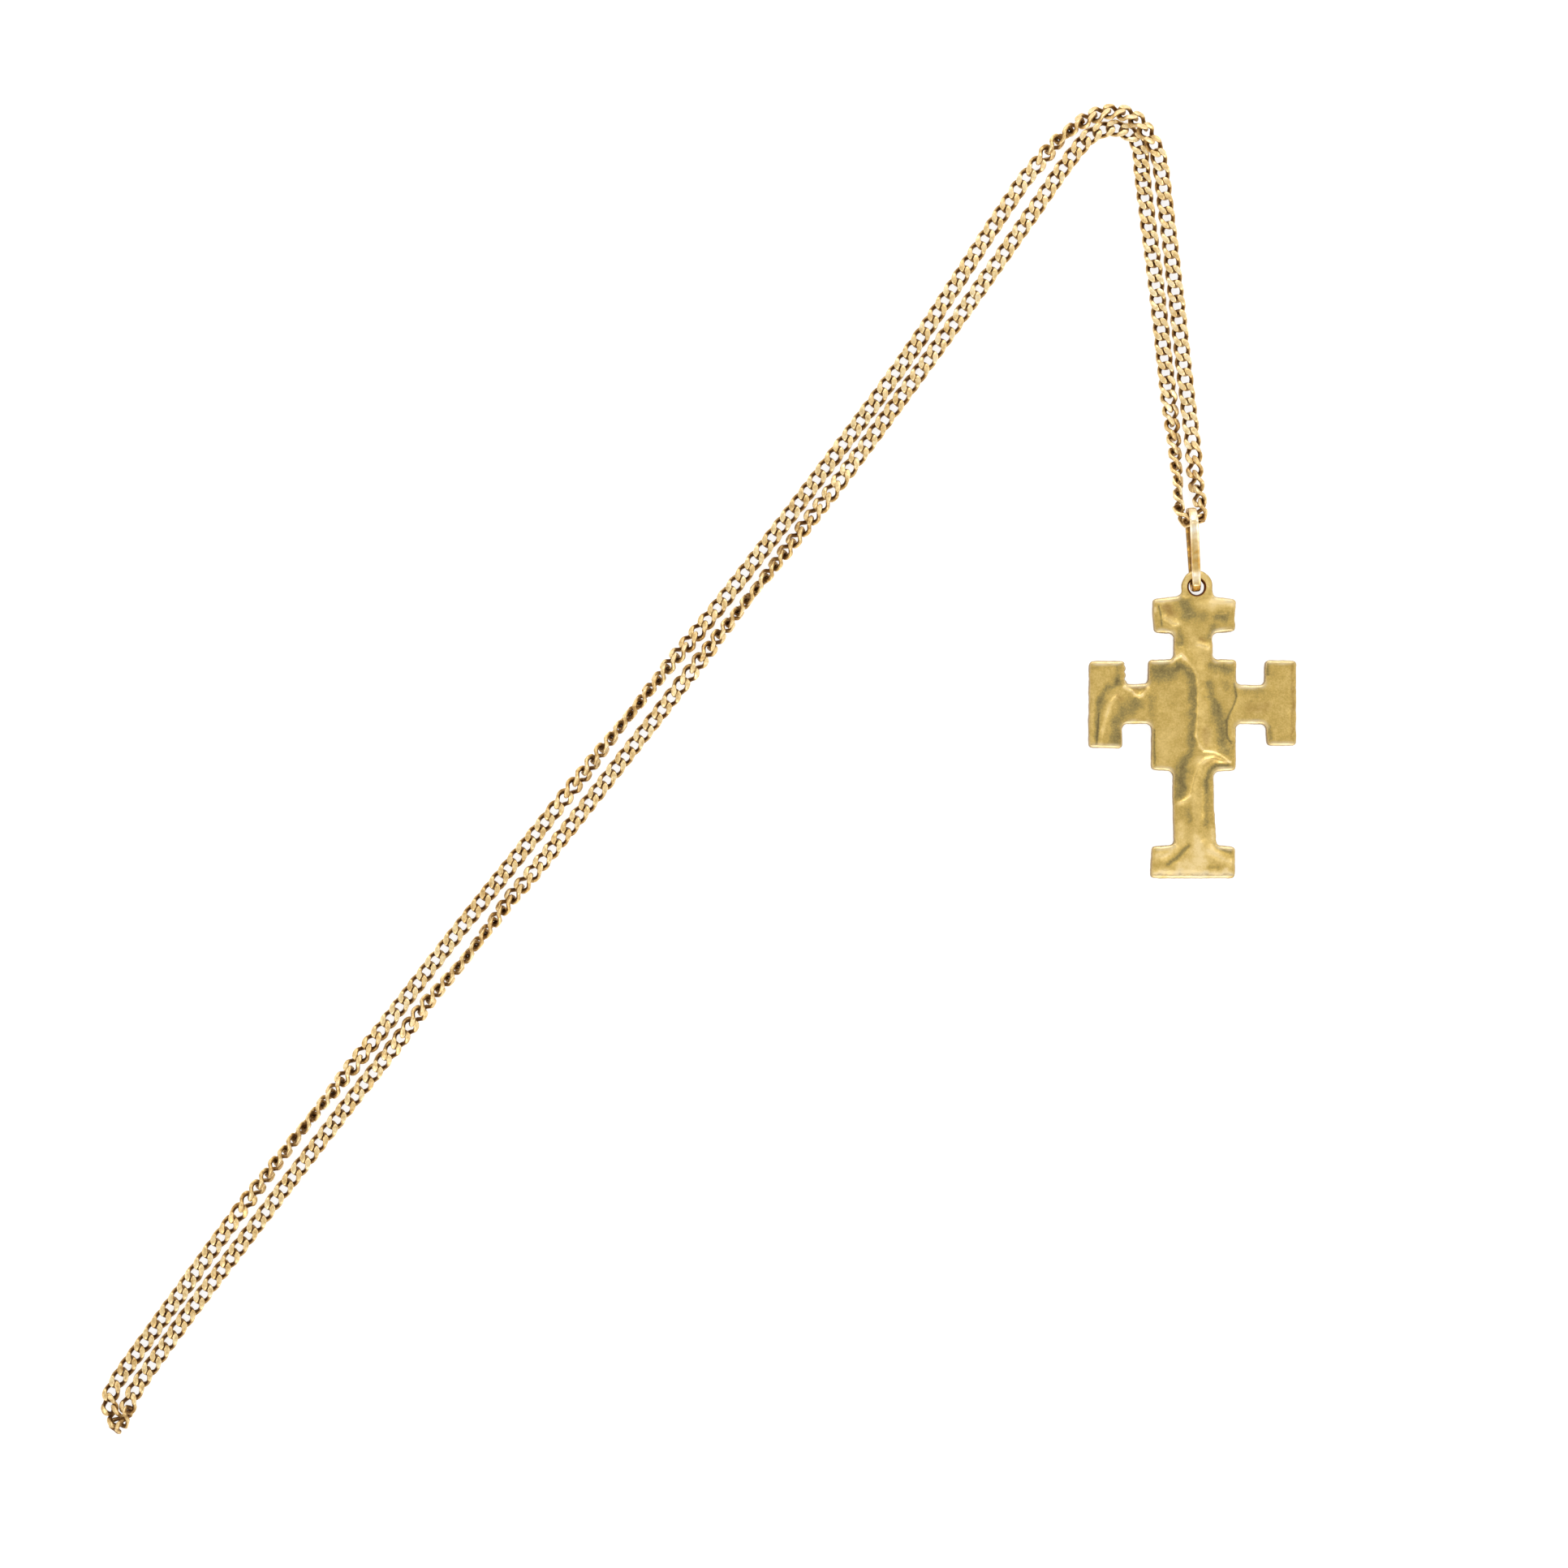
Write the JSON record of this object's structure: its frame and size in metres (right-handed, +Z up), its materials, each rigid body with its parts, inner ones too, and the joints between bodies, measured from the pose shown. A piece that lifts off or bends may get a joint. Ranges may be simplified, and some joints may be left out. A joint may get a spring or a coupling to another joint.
{
  "type": "orthodox cross necklace",
  "caption": "Gold cross pendant with barred ends, hung by a long flat bail on a doubled endless curb chain that slips over the head; shown lying flat.",
  "frame": {"origin": "middle of the footprint, on the surface that the necklace lies on", "axes": "+Z up from the surface, +Y towards the bend of the doubled chain, +X towards the cross"},
  "size_m": [0.1736, 0.193, 0.0047],
  "materials": {
    "cast_gold": null,
    "bail_gold": null,
    "chain_gold": null
  },
  "bodies": {
    "root": {"cross": "cast_gold", "bail": "bail_gold", "chain": "chain_gold"}
  },
  "joints": []
}
